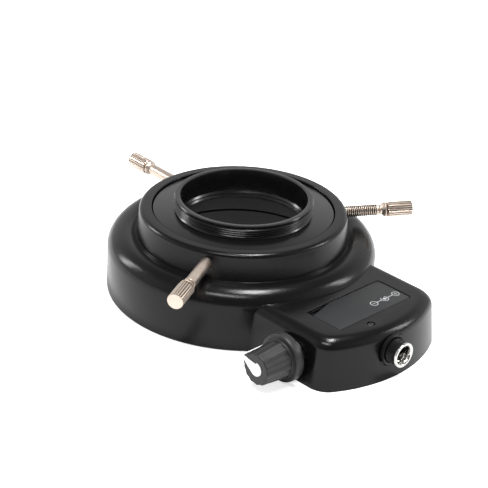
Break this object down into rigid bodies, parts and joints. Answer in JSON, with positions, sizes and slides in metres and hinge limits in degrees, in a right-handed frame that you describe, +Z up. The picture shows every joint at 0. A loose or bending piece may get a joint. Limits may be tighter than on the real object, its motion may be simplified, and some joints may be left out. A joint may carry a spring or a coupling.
{
  "type": "microscope ring light",
  "caption": "Ring lamp that clamps round a stereo microscope's objective: LED ring with a threaded adapter, thumb screws, and a side box with dimmer knob and power socket",
  "frame": {"origin": "Middle of the floor of the bounding box, on the plane of the housing's underside.", "axes": "+Z is up along the ring's axis, towards the threaded collar. +X points from the ring to the control box's curved end, where the socket is. +Y is the side of the box opposite the dimmer knob."},
  "size_m": [0.1414, 0.1118, 0.0339],
  "materials": {
    "housing_plastic": "satin black moulded plastic",
    "plate_plastic": "bare dark plate",
    "window_plastic": "clear plastic window",
    "adapter_anodised": "black anodised, turned",
    "screw_nickel": "warm nickel plate, straight knurl",
    "insert_brass": "plain brass",
    "coil_copper": "copper winding",
    "knob_plastic": "matte black",
    "pointer_white": "white inlay",
    "fixing_steel": "plain steel",
    "socket_black": "black plastic",
    "socket_nickel": "bright nickel plate",
    "socket_nut_black": "black metal",
    "led_board_white": "white solder mask",
    "led_resin": "lens resin",
    "driver_board_green": "green circuit board",
    "capacitor_sleeve": "dark sleeve",
    "wire_red": "red insulation",
    "wire_black": "black insulation"
  },
  "bodies": {
    "housing": {"bottom_cover": "housing_plastic", "cover_screw_1": "fixing_steel", "cover_screw_2": "fixing_steel", "cover_screw_3": "fixing_steel", "cover_screw_4": "fixing_steel", "dimmer_bushing": "insert_brass", "dimmer_case": "socket_black", "dimmer_nut": "fixing_steel", "dimmer_washer": "fixing_steel", "driver_board": "driver_board_green", "driver_capacitor": "capacitor_sleeve", "driver_chip": "socket_black", "driver_coil": "coil_copper", "driver_screw_1": "fixing_steel", "driver_screw_2": "fixing_steel", "housing_shell": "housing_plastic", "label_plate": "plate_plastic", "led_array": "led_resin", "led_board": "led_board_white", "led_screw_1": "fixing_steel", "led_screw_2": "fixing_steel", "led_screw_3": "fixing_steel", "led_wire_black": "wire_black", "led_wire_red": "wire_red", "light_window": "window_plastic", "roof_screw": "fixing_steel", "socket_body": "socket_black", "socket_nut": "socket_nut_black", "socket_pin": "socket_nickel", "socket_sleeve": "socket_nickel", "socket_wire_black": "wire_black", "socket_wire_red": "wire_red", "thread_insert_1": "insert_brass", "thread_insert_2": "insert_brass", "thread_insert_3": "insert_brass"},
    "adapter": {"adapter_ring": "adapter_anodised"},
    "dimmer": {"dimmer_knob": "knob_plastic", "dimmer_shaft": "fixing_steel", "knob_pointer": "pointer_white"},
    "screw_1_shank": {"thumb_screw_1_shank": "screw_nickel"},
    "screw_1_head": {"thumb_screw_1_head": "screw_nickel"},
    "screw_2_shank": {"thumb_screw_2_shank": "screw_nickel"},
    "screw_2_head": {"thumb_screw_2_head": "screw_nickel"},
    "screw_3_shank": {"thumb_screw_3_shank": "screw_nickel"},
    "screw_3_head": {"thumb_screw_3_head": "screw_nickel"}
  },
  "joints": [
    {"name": "adapter_lift", "type": "slide", "parent": "housing", "child": "adapter", "axis": [0, 0, 1], "range_m": [0, 0.03]},
    {"name": "screw_1_travel", "type": "slide", "parent": "housing", "child": "screw_1_shank", "axis": [0.503, 0.8643, 0], "range_m": [-0.002, 0.003]},
    {"name": "screw_1_turn", "type": "hinge", "parent": "screw_1_shank", "child": "screw_1_head", "pos_m": [0.0152, 0.04457, 0.0255], "axis": [0.503, 0.8643, 0], "range_deg": [-1034.57, 1548.86]},
    {"name": "screw_2_travel", "type": "slide", "parent": "housing", "child": "screw_2_shank", "axis": [-0.9993, 0.0384, 0], "range_m": [-0.0021, 0.0028]},
    {"name": "screw_2_turn", "type": "hinge", "parent": "screw_2_shank", "child": "screw_2_head", "pos_m": [-0.05887, 0.00394, 0.0255], "axis": [-0.9993, 0.0384, 0], "range_deg": [-1086, 1446]},
    {"name": "screw_3_travel", "type": "slide", "parent": "housing", "child": "screw_3_shank", "axis": [0.4571, -0.8894, 0], "range_m": [-0.005, 0.0001]},
    {"name": "screw_3_turn", "type": "hinge", "parent": "screw_3_shank", "child": "screw_3_head", "pos_m": [0.01431, -0.04438, 0.0255], "axis": [0.4571, -0.8894, 0], "range_deg": [-2577.43, 57.43]},
    {"name": "dimmer_turn", "type": "hinge", "parent": "housing", "child": "dimmer", "pos_m": [0.04479, -0.03495, 0.00842], "axis": [0, -1, 0], "range_deg": [-50, 250]}
  ],
  "couplings": [
    {"joint": "screw_1_turn", "follows": "screw_1_travel", "rad_per_m": 8976},
    {"joint": "screw_2_turn", "follows": "screw_2_travel", "rad_per_m": 8976},
    {"joint": "screw_3_turn", "follows": "screw_3_travel", "rad_per_m": 8976}
  ]
}
